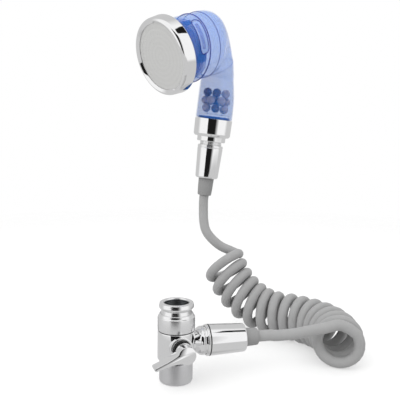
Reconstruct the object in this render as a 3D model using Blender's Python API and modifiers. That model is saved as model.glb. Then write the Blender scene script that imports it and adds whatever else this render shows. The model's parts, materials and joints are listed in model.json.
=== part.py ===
"""Handheld bath sprayer: handset, spiral hose and tap diverter valve.

Run with: blender --background --python part.py
The origin is the centre of the valve inlet's top rim, +Z is up along the inlet, +X runs along the side
outlet that feeds the hose, and the valve's lever faces close to -Y. Sizes are in millimetres times MM.
"""
import math

import bmesh
import bpy
from mathutils import Matrix, Vector

MM = 0.001

# Fits between neighbouring pieces
GAP = 0.3 * MM

# Diverter valve, along Z down from the inlet rim
RIM_R, RIM_HEIGHT = 13.3 * MM, 4.4 * MM
MOUTH_R = 9.2 * MM
NECK_R = 11.6 * MM
COLLAR_TOP, COLLAR_BOTTOM = -8.2 * MM, -21.4 * MM
VALVE_R = 14.1 * MM
BODY_TOP, BODY_BOTTOM = -13.8 * MM, -44.8 * MM
PORT_Z = -31.5 * MM
BALL_R = 8.3 * MM
CHAMBER_R = 9.0 * MM
OUTLET_R, OUTLET_BOTTOM = 12.7 * MM, -61.5 * MM

# Side spigot and the hose nut on it, along X
SPIGOT_NECK_R, SPIGOT_FLANGE_R = 7.2 * MM, 11.0 * MM
SPIGOT_THREAD_R = 10.4 * MM
SPIGOT_END = 31.5 * MM
LOWER_NUT_X = 22.3 * MM

# Hose nut, ferrule and sleeve, along their own axis from the nut's open face
NUT_LENGTH, NUT_R_OPEN, NUT_R_HOSE = 31.5 * MM, 12.1 * MM, 10.75 * MM
SLEEVE_END = 48.0 * MM
SLEEVE_R_NUT, SLEEVE_R_HOSE = 7.3 * MM, 6.5 * MM
FERRULE_BORE_START = 14.0 * MM

# Lever, along the stem from the ball's centre. The stem points STEM_TURN degrees from -Y towards +X
STEM_R = 4.2 * MM
BOSS_R, BOSS_FACE = 8.6 * MM, 15.8 * MM
STEM_TURN = 4.0
LEVER_BACK, LEVER_FRONT, STEM_END = 21.0 * MM, 30.0 * MM, 26.5 * MM
LOBE_R, TIP_R, LEVER_REACH = 6.7 * MM, 1.25 * MM, 23.8 * MM
LEVER_REST_DROP = 19.0
SCREW_HEIGHT = 24.0 * MM
# The tail leaves the lobe this many degrees from straight back, and narrows: its reach and half width
TAIL_JOIN = 30.5
LEVER_TAIL = ((7.2, 3.0), (9.5, 2.55), (13.7, 1.95), (19.0, 1.55))

# Hose
HOSE_R = 4.4 * MM
COIL_TURN_R = 16.6 * MM
COIL_R = COIL_TURN_R + HOSE_R

# Handset, along its handle from the top face of its hose nut
HANDSET_ORIGIN = Vector((58.2, 126.9, 112.9)) * MM
HANDSET_LEAN, LEAN_HEADING, FACE_HEADING = 6.3, -14.0, 208.0
STEP_BOTTOM, STEP_TOP, STEP_R = 3.4 * MM, 7.8 * MM, 13.4 * MM
HANDLE_COLLAR_TOP, HANDLE_COLLAR_R = 24.7 * MM, 17.6 * MM
WALL = 2.2 * MM

# Head axis: it crosses the handle axis at HEAD_CROSSING and dips HEAD_TILT degrees towards the face
HEAD_CROSSING, HEAD_TILT, FACE_DISTANCE = 101.4 * MM, 23.3, 79.4 * MM
FACE_RING_DEPTH, FACE_RING_R, FACE_OPENING_R = 12.2 * MM, 34.4 * MM, 29.0 * MM
BARREL_R, BARREL_LENGTH = 29.2 * MM, 48.0 * MM

# Elbow: oval sections fan about its inner corner, each with the angle of its plane, its height and its
# width as a share of the height
ELBOW_CORNER = (17.5 * MM, 62.7 * MM)
HEAD_FAN = ((84.0, 56.8, 0.94), (99.0, 49.8, 0.84), (114.0, 42.5, 0.80), (129.0, 36.6, 0.85),
            (142.6, 33.0, 0.95))
HANDLE_FAN = ((143.4, 32.9, 0.95), (161.0, 31.0, 1.0), (180.0, 31.0, 1.0))
# Handle below the elbow: height, how far the section leans forward, and radius
HANDLE_SECTIONS = ((54.0, 1.1, 16.3), (45.0, 0.3, 17.0), (34.0, 0.0, 17.3), (25.0, 0.0, 17.4))

# Mineral balls: each layer's height, how far forward it sits, and where its balls stand round the ring
MINERAL_R, BALL_RING_R = 4.0 * MM, 9.7 * MM
BALL_LAYERS = ((34.7, 0.0, (-42, 18, 78, -102, -162)), (41.9, 0.2, (-72, -12, 48, 108, 168, -132)),
               (49.1, 0.5, (-42, 18, -102, 138)))
CENTRE_BALL_HEIGHT = 41.9 * MM
DARK_BALLS = (1, 12, 14, 16)

MODEL, CUTTERS = "bath_sprayer", "cutters"


# ---------------------------------------------------------------- scene, materials and frames

def clear_scene():
    """Empties the scene and makes the two collections."""
    for obj in list(bpy.data.objects):
        bpy.data.objects.remove(obj)
    for name in (MODEL, CUTTERS):
        bpy.context.scene.collection.children.link(bpy.data.collections.new(name))


def material(name, colour, roughness, metallic=0.0, alpha=1.0):
    """A Principled material of one colour."""
    made = bpy.data.materials.new(name)
    made.use_nodes = True
    shader = made.node_tree.nodes["Principled BSDF"]
    shader.inputs["Base Color"].default_value = (*colour, 1.0)
    shader.inputs["Roughness"].default_value = roughness
    shader.inputs["Metallic"].default_value = metallic
    shader.inputs["Alpha"].default_value = alpha
    return made


def make_materials():
    """Every finish on the sprayer."""
    return {
        "chrome": material("chrome", (0.80, 0.80, 0.81), 0.08, 1.0),
        "satin": material("satin_metal", (0.62, 0.62, 0.63), 0.35, 1.0),
        "plate": material("spray_plate_steel", (0.70, 0.70, 0.70), 0.42, 1.0),
        "brass": material("brass", (0.72, 0.55, 0.28), 0.30, 1.0),
        "steel": material("steel_mesh", (0.52, 0.53, 0.54), 0.35, 1.0),
        "blue": material("translucent_blue", (0.20, 0.34, 0.85), 0.12, 0.0, 0.45),
        "inner": material("inner_blue", (0.10, 0.14, 0.62), 0.20, 0.0, 0.60),
        "hose": material("grey_hose", (0.40, 0.40, 0.40), 0.55),
        "sleeve": material("grey_sleeve", (0.34, 0.34, 0.34), 0.60),
        "rubber": material("black_rubber", (0.03, 0.03, 0.03), 0.70),
        "ptfe": material("white_ptfe", (0.88, 0.88, 0.86), 0.45),
        "nylon": material("white_nylon", (0.80, 0.82, 0.84), 0.40),
        "mineral": material("mineral", (0.16, 0.17, 0.22), 0.65),
        "mineral_light": material("light_mineral", (0.42, 0.42, 0.50), 0.65),
    }


def handset_frame():
    """Handset frame: +Z up the handle, -Y towards the face."""
    heading = math.radians(LEAN_HEADING)
    hinge = Vector((-math.sin(heading), math.cos(heading), 0.0))
    lean = Matrix.Rotation(math.radians(HANDSET_LEAN), 4, hinge)
    turn = Matrix.Rotation(math.radians(FACE_HEADING + 90.0), 4, "Z")
    return Matrix.Translation(HANDSET_ORIGIN) @ lean @ turn


def head_frame():
    """Head frame: +Z out of the face, with its origin at the face."""
    tilt = math.radians(HEAD_TILT)
    out = Vector((0.0, -math.cos(tilt), -math.sin(tilt)))
    turn = Matrix.Rotation(math.radians(90.0 + HEAD_TILT), 4, "X")
    place = Vector((0.0, 0.0, HEAD_CROSSING)) + out * FACE_DISTANCE
    return handset_frame() @ Matrix.Translation(place) @ turn


VALVE_FRAME = Matrix.Identity(4)
PORT_FRAME = Matrix.Translation((0.0, 0.0, PORT_Z))
SIDE_FRAME = PORT_FRAME @ Matrix.Rotation(math.radians(90.0), 4, "Y")
STEM_FRAME = (PORT_FRAME @ Matrix.Rotation(math.radians(STEM_TURN), 4, "Z")
              @ Matrix.Rotation(math.radians(90.0), 4, "X"))
UPPER_NUT_FRAME = handset_frame() @ Matrix.Rotation(math.pi, 4, "X")
LOWER_NUT_FRAME = SIDE_FRAME @ Matrix.Translation((0.0, 0.0, LOWER_NUT_X))


# ---------------------------------------------------------------- shape builders

def add_object(name, data, finish, frame, collection=MODEL):
    """Links a new object that stands in a frame."""
    obj = bpy.data.objects.new(name, data)
    obj.matrix_world = frame
    if finish is not None:
        data.materials.append(finish)
    bpy.data.collections[collection].objects.link(obj)
    if collection == CUTTERS:
        obj.hide_render = True
        obj.display_type = "WIRE"
    return obj


def smooth(mesh, angle=35.0):
    """Shades a round piece smooth and keeps its hard edges."""
    mesh.shade_smooth()
    mesh.set_sharp_from_angle(angle=math.radians(angle))


def turned(name, profile, finish, frame, steps=24, collection=MODEL):
    """A piece turned on a lathe about the frame's Z axis.

    The profile is (radius, height) in millimetres, down the outer side from the top. One that starts and
    ends on the axis is solid, and any other is closed through its bore.
    """
    mesh = bpy.data.meshes.new(name)
    points = [(radius * MM, 0.0, height * MM) for radius, height in profile]
    edges = [(i, i + 1) for i in range(len(points) - 1)]
    if profile[0][0] > 0.0:
        edges.append((len(points) - 1, 0))
    mesh.from_pydata(points, edges, [])
    obj = add_object(name, mesh, finish, frame, collection)
    screw = obj.modifiers.new("turn", "SCREW")
    screw.angle = 2.0 * math.pi
    screw.steps = screw.render_steps = steps
    screw.use_merge_vertices = True
    screw.merge_threshold = 1e-6
    screw.use_smooth_shade = True
    screw.use_normal_calculate = False
    return obj


def ring(name, outer, inner, top, bottom, finish, frame, steps=20):
    """A plain turned ring, in millimetres."""
    profile = [(outer, top), (outer, bottom), (inner, bottom), (inner, top)]
    return turned(name, profile, finish, frame, steps)


def disc(name, radius, top, bottom, finish, frame, steps=24):
    """A plain turned disc, in millimetres."""
    return turned(name, [(0.0, top), (radius, top), (radius, bottom), (0.0, bottom)], finish, frame, steps)


def cylinder(name, radius, bottom, top, frame, finish=None, steps=20, collection=CUTTERS):
    """A cylinder along the frame's Z axis, in metres, made as a cutter unless another collection is named."""
    mesh = bpy.data.meshes.new(name)
    shape = bmesh.new()
    place = Matrix.Translation((0.0, 0.0, (bottom + top) / 2.0))
    bmesh.ops.create_cone(shape, cap_ends=True, segments=steps, radius1=radius, radius2=radius,
                          depth=top - bottom, matrix=place)
    shape.to_mesh(mesh)
    shape.free()
    return add_object(name, mesh, finish, frame, collection)


def box(name, size, centre, frame, finish=None, collection=CUTTERS):
    """A box in a frame, in metres, made as a cutter unless another collection is named."""
    mesh = bpy.data.meshes.new(name)
    shape = bmesh.new()
    place = Matrix.Translation(centre) @ Matrix.Diagonal((*size, 1.0))
    bmesh.ops.create_cube(shape, size=1.0, matrix=place)
    shape.to_mesh(mesh)
    shape.free()
    return add_object(name, mesh, finish, frame, collection)


def boolean(obj, other, operation="DIFFERENCE"):
    """Cuts or joins another object, which stays as a cutter."""
    modifier = obj.modifiers.new(other.name, "BOOLEAN")
    modifier.operation = operation
    modifier.object = other
    return modifier


def smooth_route(points, spacing):
    """Points along a smooth curve through a route, about one spacing apart."""
    route = [Vector(p) for p in points]
    route = [2 * route[0] - route[1]] + route + [2 * route[-1] - route[-2]]
    fine = []
    for a, b, c, d in zip(route, route[1:], route[2:], route[3:]):
        for step in range(24):
            t = step / 24.0
            fine.append(0.5 * (2 * b + (c - a) * t + (2 * a - 5 * b + 4 * c - d) * t * t
                               + (3 * b - a - 3 * c + d) * t ** 3))
    fine.append(route[-2])
    lengths = [0.0]
    for a, b in zip(fine, fine[1:]):
        lengths.append(lengths[-1] + (b - a).length)
    count = max(2, round(lengths[-1] / spacing))
    even, k = [], 0
    for i in range(count + 1):
        target = lengths[-1] * i / count
        while k < len(fine) - 2 and lengths[k + 1] < target:
            k += 1
        share = (target - lengths[k]) / (lengths[k + 1] - lengths[k])
        even.append(fine[k].lerp(fine[k + 1], share))
    return even


def tube(name, points, radius, finish, resolution=2):
    """A solid round tube along points in the part's own frame."""
    curve = bpy.data.curves.new(name, "CURVE")
    curve.dimensions = "3D"
    curve.bevel_depth = radius
    curve.bevel_resolution = resolution
    curve.use_fill_caps = True
    spline = curve.splines.new("POLY")
    spline.points.add(len(points) - 1)
    for point, place in zip(spline.points, points):
        point.co = (*place, 1.0)
    return add_object(name, curve, finish, Matrix.Identity(4))


def loft(name, sections, finish, frame, sides=28):
    """A closed ring-shaped skin through round sections, each a centre, two axes and a radius."""
    mesh = bpy.data.meshes.new(name)
    shape = bmesh.new()
    rings = []
    for centre, across, up, radius in sections:
        angles = [2.0 * math.pi * i / sides for i in range(sides)]
        rings.append([shape.verts.new(centre + radius * (math.cos(a) * across + math.sin(a) * up))
                      for a in angles])
    for low, high in zip(rings, rings[1:] + rings[:1]):
        for i in range(sides):
            j = (i + 1) % sides
            shape.faces.new((low[i], low[j], high[j], high[i]))
    bmesh.ops.recalc_face_normals(shape, faces=shape.faces)
    shape.to_mesh(mesh)
    shape.free()
    smooth(mesh)
    return add_object(name, mesh, finish, frame)


# ---------------------------------------------------------------- diverter valve

def build_valve_body(finish):
    """Body with its union thread, front boss and side spigot, bored for the ball, stem and outlets."""
    valve_r, thread_r = VALVE_R / MM, 12.5
    body = turned("valve_body", [
        (0.0, BODY_TOP / MM), (thread_r, BODY_TOP / MM), (thread_r, -21.7), (valve_r, -21.7),
        (valve_r, -43.4), (12.5, BODY_BOTTOM / MM), (11.0, BODY_BOTTOM / MM), (11.0, -52.0), (0.0, -52.0),
    ], finish, VALVE_FRAME, 28)
    spigot = turned("side_spigot", [
        (0.0, SPIGOT_END / MM), (SPIGOT_THREAD_R / MM, SPIGOT_END / MM), (SPIGOT_THREAD_R / MM, 21.2),
        (SPIGOT_FLANGE_R / MM, 21.2), (SPIGOT_FLANGE_R / MM, 18.8), (10.2, 17.2), (8.8, 15.2),
        (SPIGOT_NECK_R / MM, 13.4), (SPIGOT_NECK_R / MM, 10.0), (0.0, 10.0),
    ], None, SIDE_FRAME, 24, CUTTERS)
    boolean(body, spigot, "UNION")
    boolean(body, cylinder("boss", BOSS_R, 9.5 * MM, BOSS_FACE, STEM_FRAME, steps=24), "UNION")
    boolean(body, cylinder("chamber", CHAMBER_R, -40.6 * MM, -12.0 * MM, VALVE_FRAME, steps=24))
    boolean(body, cylinder("down_bore", 6.5 * MM, -53.0 * MM, -40.0 * MM, VALVE_FRAME))
    boolean(body, cylinder("side_bore", 4.6 * MM, 5.0 * MM, 33.0 * MM, SIDE_FRAME))
    boolean(body, cylinder("stem_bore", STEM_R + GAP, 4.0 * MM, 12.0 * MM, STEM_FRAME))
    boolean(body, cylinder("gland_bore", 7.0 * MM, 10.2 * MM, 17.0 * MM, STEM_FRAME, steps=24))
    return body


def build_valve_inlet(finishes):
    """Inlet adaptor under its rim, with washer and screen, held by the union collar."""
    rim, neck, mouth = RIM_R / MM, NECK_R / MM, MOUTH_R / MM
    turned("inlet_adaptor", [
        (12.0, 0.0), (12.9, -0.4), (rim, -1.3), (rim, -3.0), (12.6, -RIM_HEIGHT / MM), (neck, -4.8),
        (neck, -10.3), (12.6, -10.3), (12.6, -12.0), (7.0, -12.0), (7.0, -9.0), (mouth, -9.0),
        (mouth, -0.6), (9.8, 0.0),
    ], finishes["chrome"], VALVE_FRAME, 28)
    ring("inlet_washer", 8.9, 6.2, -7.2, -8.7, finishes["rubber"], VALVE_FRAME)
    disc("inlet_screen", 8.9, -6.3, -6.9, finishes["steel"], VALVE_FRAME)
    top, bottom, outer = COLLAR_TOP / MM, COLLAR_BOTTOM / MM, VALVE_R / MM
    turned("union_collar", [
        (13.3, top), (outer, top - 0.8), (outer, bottom), (12.9, bottom), (12.9, -10.0), (11.9, -10.0),
        (11.9, top),
    ], finishes["chrome"], VALVE_FRAME, 28)
    ring("union_gasket", 12.5, 9.3, -12.3, -13.5, finishes["rubber"], VALVE_FRAME)


def build_ball_and_seats(finishes):
    """Bored ball between its two seats, with the ring that holds them down."""
    ring("seat_retainer", 8.7, 6.5, -19.5, -22.3, finishes["brass"], VALVE_FRAME, 20)
    ring("ball_seat_upper", 8.7, 5.5, -22.6, -24.9, finishes["ptfe"], VALVE_FRAME, 20)
    ring("ball_seat_lower", 8.7, 5.5, -38.1, -40.3, finishes["ptfe"], VALVE_FRAME, 20)
    mesh = bpy.data.meshes.new("diverter_ball")
    shape = bmesh.new()
    bmesh.ops.create_uvsphere(shape, u_segments=20, v_segments=12, radius=BALL_R)
    shape.to_mesh(mesh)
    shape.free()
    smooth(mesh)
    ball = add_object("diverter_ball", mesh, finishes["brass"], lever_frame())
    across = lever_frame() @ Matrix.Rotation(math.radians(90.0), 4, "Y")
    branch = lever_frame() @ Matrix.Rotation(math.radians(-90.0), 4, "X")
    boolean(ball, cylinder("through_bore", 4.3 * MM, -10.0 * MM, 10.0 * MM, across, steps=16))
    boolean(ball, cylinder("branch_bore", 4.3 * MM, 0.0, 10.0 * MM, branch, steps=16))
    boolean(ball, box("ball_slot", (10.0 * MM, 3.2 * MM, 4.0 * MM), (0.0, 0.0, 8.2 * MM), lever_frame()))


def lever_frame():
    """Lever frame: +Z out along the stem, and the paddle's tail along -X at its rest angle."""
    return STEM_FRAME @ Matrix.Rotation(math.radians(LEVER_REST_DROP), 4, "Z")


def build_lever(finishes):
    """Stem with its tongue, seal, gland nut, and the teardrop paddle with its grub screw."""
    stem = cylinder("stem", STEM_R, BALL_R + GAP, STEM_END, lever_frame(), finishes["brass"], 20, MODEL)
    boolean(stem, box("stem_tongue", (5.0 * MM, 2.6 * MM, 2.6 * MM), (0.0, 0.0, 7.9 * MM), lever_frame()),
            "UNION")
    smooth(stem.data)
    ring("stem_oring", 6.7, 4.5, 12.0, 10.5, finishes["rubber"], STEM_FRAME, 20)
    ring("gland_nut", 6.7, 4.5, 14.9, 12.3, finishes["chrome"], STEM_FRAME, 20)

    lever = add_object("lever", paddle_mesh(), finishes["chrome"], lever_frame())
    boolean(lever, cylinder("lever_hub", 5.2 * MM, 15.3 * MM, LEVER_BACK + 1.0 * MM, lever_frame(),
                            steps=24), "UNION")
    boolean(lever, cylinder("stem_socket", STEM_R + GAP, 14.0 * MM, STEM_END + GAP, lever_frame()))
    radial = lever_frame() @ Matrix.Translation((0.0, 0.0, SCREW_HEIGHT)) @ Matrix.Rotation(math.pi / 2, 4, "X")
    boolean(lever, cylinder("screw_hole", 1.5 * MM, 3.0 * MM, 8.0 * MM, radial, steps=12))
    screw = cylinder("lever_grub_screw", 1.2 * MM, 4.6 * MM, 6.3 * MM, radial, finishes["steel"], 12, MODEL)
    smooth(screw.data)


def paddle_mesh():
    """Teardrop plate: a round lobe on the stem that narrows to a small round tip."""
    end = math.pi - math.radians(TAIL_JOIN)
    outline = []
    for i in range(17):
        a = -end + 2.0 * end * i / 16
        outline.append((LOBE_R * math.cos(a), LOBE_R * math.sin(a)))
    tail = [(-reach * MM, half * MM) for reach, half in LEVER_TAIL]
    outline += tail
    for i in range(7):
        a = math.radians(90.0 + 30.0 * i)
        outline.append((-LEVER_REACH + TIP_R * math.cos(a), TIP_R * math.sin(a)))
    outline += [(x, -y) for x, y in tail[::-1]]
    mesh = bpy.data.meshes.new("lever")
    shape = bmesh.new()
    face = shape.faces.new([shape.verts.new((x, y, LEVER_BACK)) for x, y in outline])
    raised = bmesh.ops.extrude_face_region(shape, geom=[face])
    top = [v for v in raised["geom"] if isinstance(v, bmesh.types.BMVert)]
    bmesh.ops.translate(shape, verts=top, vec=(0.0, 0.0, LEVER_FRONT - LEVER_BACK))
    bmesh.ops.recalc_face_normals(shape, faces=shape.faces)
    rim = [e for e in shape.edges if abs(e.verts[0].co.z - e.verts[1].co.z) < 1e-6]
    bmesh.ops.bevel(shape, geom=rim, offset=0.7 * MM, segments=2, profile=0.5, affect="EDGES")
    shape.to_mesh(mesh)
    shape.free()
    smooth(mesh)
    return mesh


def build_outlet(finishes):
    """Satin outlet sleeve with the aerator inside it."""
    outer, bottom = OUTLET_R / MM, OUTLET_BOTTOM / MM
    turned("outlet_sleeve", [
        (12.2, -45.1), (outer, -45.6), (outer, bottom + 1.6), (12.2, bottom + 0.5), (11.3, bottom),
        (9.5, bottom), (9.5, bottom + 1.4), (11.3, bottom + 1.4), (11.3, -45.1),
    ], finishes["satin"], VALVE_FRAME, 28)
    ring("aerator_gasket", 11.0, 7.0, -52.3, -53.5, finishes["rubber"], VALVE_FRAME)
    turned("aerator_housing", [
        (11.0, -53.8), (11.0, -59.8), (8.0, -59.8), (8.0, -58.0), (9.2, -58.0), (9.2, -53.8),
    ], finishes["nylon"], VALVE_FRAME)
    disc("aerator_screen", 8.9, -56.2, -57.0, finishes["steel"], VALVE_FRAME)


# ---------------------------------------------------------------- hose and its ends

def build_hose_end(which, frame, finishes):
    """Conical nut, washer, swivelling ferrule and grey sleeve at one end of the hose."""
    length, wide, narrow = NUT_LENGTH / MM, NUT_R_OPEN / MM, NUT_R_HOSE / MM
    turned(which + "_hose_nut", [
        (9.5, length), (narrow - 0.4, length - 0.9), (narrow, length - 2.4), (wide - 0.1, 2.0),
        (wide - 0.5, 1.5), (wide, 1.1), (wide - 0.6, 0.0), (10.75, 0.0), (10.75, 13.4), (6.6, 13.4),
        (6.6, length),
    ], finishes["chrome"], frame, 28)
    ring(which + "_washer", 10.2, 4.0, 11.1, 9.5, finishes["rubber"], frame)
    turned(which + "_ferrule", [
        (6.3, 29.0), (6.3, 13.1), (10.2, 13.1), (10.2, 11.4), (3.6, 11.4), (3.6, 13.7), (4.75, 13.7),
        (4.75, 29.0),
    ], finishes["brass"], frame, 20)
    end, at_nut, at_hose = SLEEVE_END / MM, SLEEVE_R_NUT / MM, SLEEVE_R_HOSE / MM
    turned(which + "_strain_relief", [
        (5.4, end), (at_hose, end - 0.8), (at_nut, 31.8), (6.2, 31.8), (6.2, 29.3), (4.75, 29.3),
        (4.75, end),
    ], finishes["sleeve"], frame, 24)


def build_hose(finishes):
    """Free hose: a tail from each nut, and the coil as one fat tube of its outer diameter."""
    finish = finishes["hose"]
    coil = smooth_route([Vector(p) * MM for p in COIL_AXIS], 9.5 * MM)
    coil_tube = tube("hose_coil", coil, COIL_R, finish, 5)
    coil_tube.data.use_fill_caps = True
    for name, frame, route in (("hose_tail_upper", UPPER_NUT_FRAME, UPPER_TAIL),
                               ("hose_tail_lower", LOWER_NUT_FRAME, LOWER_TAIL)):
        heights = (FERRULE_BORE_START, 25.0 * MM, 37.0 * MM, SLEEVE_END, SLEEVE_END + 5.0 * MM)
        start = [frame @ Vector((0.0, 0.0, t)) for t in heights]
        points = smooth_route(start + [Vector(p) * MM for p in route], 5.5 * MM)
        tube(name, points, HOSE_R, finish, 3)


# Coil axis from its hanging start down to the floor and round to its open end, and the two tails
COIL_AXIS = ((65.5, 104, 4), (73.5, 100, -12.5), (86.5, 92, -28.5), (102.5, 80.5, -38.5), (120, 66, -40.3),
             (133.5, 46, -40.3), (138.5, 25, -40.3), (136, 5, -40.3), (129.5, -10, -40.3))
UPPER_TAIL = ((52.2, 127, 50), (51.8, 123.5, 41), (53, 119.5, 32), (58, 115.5, 24.5), (65.5, 111.5, 18))
LOWER_TAIL = ((80, -1, -31.8), (88, -2.2, -31.3), (96, -4, -30.2))


# ---------------------------------------------------------------- handset

def section(forward, height, angle, radius, stretch=1.0):
    """A section of the handset, its plane rising at an angle from straight ahead, stretched sideways."""
    tilt = math.radians(angle)
    up = Vector((0.0, -math.cos(tilt), math.sin(tilt)))
    return Vector((0.0, -forward, height)), Vector((stretch, 0.0, 0.0)), up, radius


def barrel_section(depth, radius):
    """A section of the head's barrel, a depth behind the face."""
    tilt = math.radians(HEAD_TILT)
    along = FACE_DISTANCE - depth
    return section(along * math.cos(tilt), HEAD_CROSSING - along * math.sin(tilt), 90.0 - HEAD_TILT, radius)


def fan_section(angle, diameter, share, wall):
    """A section of the elbow, which turns about the elbow's inner corner."""
    tilt, half = math.radians(angle), diameter / 2.0 * MM
    forward = ELBOW_CORNER[0] + half * math.cos(tilt)
    height = ELBOW_CORNER[1] + half * math.sin(tilt)
    return section(forward, height, angle, half - wall, (share * half - wall) / (half - wall))


def build_shells(finish):
    """Head shell and handle shell, which meet at a seam across the elbow."""
    barrel = [(7.2, 31.2), (12.3, 31.2), (12.4, BARREL_R / MM), (33.0, 29.0), (BARREL_LENGTH / MM, 28.7)]
    outer = [barrel_section(depth * MM, radius * MM) for depth, radius in barrel]
    outer += [fan_section(*row, 0.0) for row in HEAD_FAN]
    inner = [fan_section(*row, WALL) for row in reversed(HEAD_FAN)]
    inner += [barrel_section(BARREL_LENGTH, 28.7 * MM - WALL), barrel_section(7.2 * MM, 27.2 * MM)]
    loft("head_shell", outer + inner, finish, handset_frame())

    outer = [fan_section(*row, 0.0) for row in HANDLE_FAN]
    outer += [section(lean * MM, height * MM, 180.0, radius * MM) for height, lean, radius in HANDLE_SECTIONS]
    outer += [section(0.0, 25.0 * MM, 180.0, 16.0 * MM), section(0.0, 14.1 * MM, 180.0, 16.0 * MM)]
    inner = [section(0.0, height * MM, 180.0, 16.0 * MM - WALL) for height in (14.1, 24.0)]
    inner += [section(lean * MM, height * MM, 180.0, radius * MM - WALL)
              for height, lean, radius in reversed(HANDLE_SECTIONS[:-1])]
    inner += [fan_section(*row, WALL) for row in reversed(HANDLE_FAN)]
    loft("handle_shell", outer + inner, finish, handset_frame())


def build_face(finishes):
    """Chrome face ring, perforated plate, its carrier and seal, and the diffuser cup behind them."""
    frame = head_frame()
    back = -FACE_RING_DEPTH / MM
    turned("face_ring", [
        (FACE_OPENING_R / MM, 0.0), (31.6, 0.0), (32.9, -0.8), (33.5, -2.4), (FACE_RING_R / MM, back + 0.5),
        (FACE_RING_R / MM - 0.5, back), (31.6, back), (31.6, -2.0), (FACE_OPENING_R / MM, -2.0),
    ], finishes["chrome"], frame, 36)
    disc("spray_plate", 31.2, -2.3, -3.3, finishes["plate"], frame, 32)
    disc("plate_carrier", 31.2, -3.6, -5.6, finishes["nylon"], frame, 32)
    ring("face_seal", 31.2, 27.4, -5.9, -6.9, finishes["rubber"], frame, 28)
    turned("diffuser_cup", [
        (26.7, -7.4), (26.7, -32.0), (8.0, -33.0), (8.0, -31.4), (25.1, -30.4), (25.1, -7.4),
    ], finishes["inner"], frame, 28)
    disc("filter_disc", 24.7, -26.0, -27.2, finishes["steel"], frame, 24)


def build_balls(finishes):
    """Mineral balls in loose layers between two perforated discs."""
    frame = handset_frame()
    lower = disc("lower_ball_grid", 13.9, 30.1, 28.7, finishes["blue"], frame, 24)
    middle, angle = fan_section(*HANDLE_FAN[1], 0.0), HANDLE_FAN[1][0]
    tilt = Matrix.Rotation(math.radians(angle - 180.0), 4, "X")
    upper = disc("upper_ball_grid", 12.4, 0.7, -0.7, finishes["blue"],
                 frame @ Matrix.Translation(middle[0]) @ tilt, 24)
    for grid, height in ((lower, 29.4 * MM), (upper, 0.0)):
        for i in range(6):
            turn = Matrix.Rotation(math.radians(60.0 * i), 4, "Z")
            place = grid.matrix_world @ turn @ Matrix.Translation((8.0 * MM, 0.0, height))
            hole = cylinder(grid.name + "_hole_" + str(i), 1.6 * MM, -3.0 * MM, 3.0 * MM, place, steps=8)
            boolean(grid, hole)
    dark = ball_mesh("dark_ball", finishes["mineral"])
    light = ball_mesh("light_ball", finishes["mineral_light"])
    places = [Vector((0.0, 0.0, CENTRE_BALL_HEIGHT))]
    for height, forward, angles in BALL_LAYERS:
        for a in [math.radians(angle) for angle in angles]:
            across = Vector((math.cos(a), math.sin(a), 0.0)) * BALL_RING_R
            places.append(across + Vector((0.0, -forward, height)) * MM)
    for number, place in enumerate(places[1:] + places[:1], 1):
        add_object("mineral_ball_%02d" % number, dark if number in DARK_BALLS else light, None,
                   frame @ Matrix.Translation(place))


def ball_mesh(name, finish):
    """One mineral ball's mesh."""
    mesh = bpy.data.meshes.new(name)
    shape = bmesh.new()
    bmesh.ops.create_icosphere(shape, subdivisions=2, radius=MINERAL_R)
    shape.to_mesh(mesh)
    shape.free()
    mesh.shade_smooth()
    mesh.materials.append(finish)
    return mesh


def build_handset_base(finishes):
    """Chrome collar under the handle, its seal, and the spigot with the step ring and thread."""
    frame = handset_frame()
    top, outer = HANDLE_COLLAR_TOP / MM, HANDLE_COLLAR_R / MM
    turned("handle_collar", [
        (outer, top), (17.3, 10.2), (16.8, 8.9), (15.7, 8.1), (14.3, 8.1), (14.3, 12.4), (16.3, 12.4),
        (16.3, top),
    ], finishes["chrome"], frame, 32)
    ring("collar_seal", 16.0, 10.5, 13.8, 12.7, finishes["rubber"], frame)
    step_bottom, step_top, step = STEP_BOTTOM / MM, STEP_TOP / MM, STEP_R / MM
    turned("handset_spigot", [
        (14.0, 12.3), (14.0, step_top), (step, step_top), (step, step_bottom + 0.4),
        (step - 0.5, step_bottom), (SPIGOT_THREAD_R / MM, step_bottom), (SPIGOT_THREAD_R / MM, -9.2),
        (6.0, -9.2), (6.0, 12.3),
    ], finishes["chrome"], frame, 28)


def main():
    clear_scene()
    finishes = make_materials()
    build_valve_body(finishes["chrome"])
    build_valve_inlet(finishes)
    build_ball_and_seats(finishes)
    build_lever(finishes)
    build_outlet(finishes)
    build_hose_end("upper", UPPER_NUT_FRAME, finishes)
    build_hose_end("lower", LOWER_NUT_FRAME, finishes)
    build_hose(finishes)
    build_shells(finishes["blue"])
    build_face(finishes)
    build_balls(finishes)
    build_handset_base(finishes)
    bpy.context.view_layer.update()


main()
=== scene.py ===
"""Looks of the handheld bath sprayer: fine pieces, finishes, studio light and camera around the CAD frame.

Sizes are in millimetres times MM, in the CAD's row frame: the origin is the centre of the valve inlet's
rim, +Z is up, +X runs towards the hose and -Y faces the viewer. Each piece is built in the frame of the
thing it belongs to, so a profile is (radius, height) along that frame's Z axis.
"""
import json
import math

import bmesh
import bpy
from mathutils import Matrix, Vector
from mathutils.geometry import delaunay_2d_cdt


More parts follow.
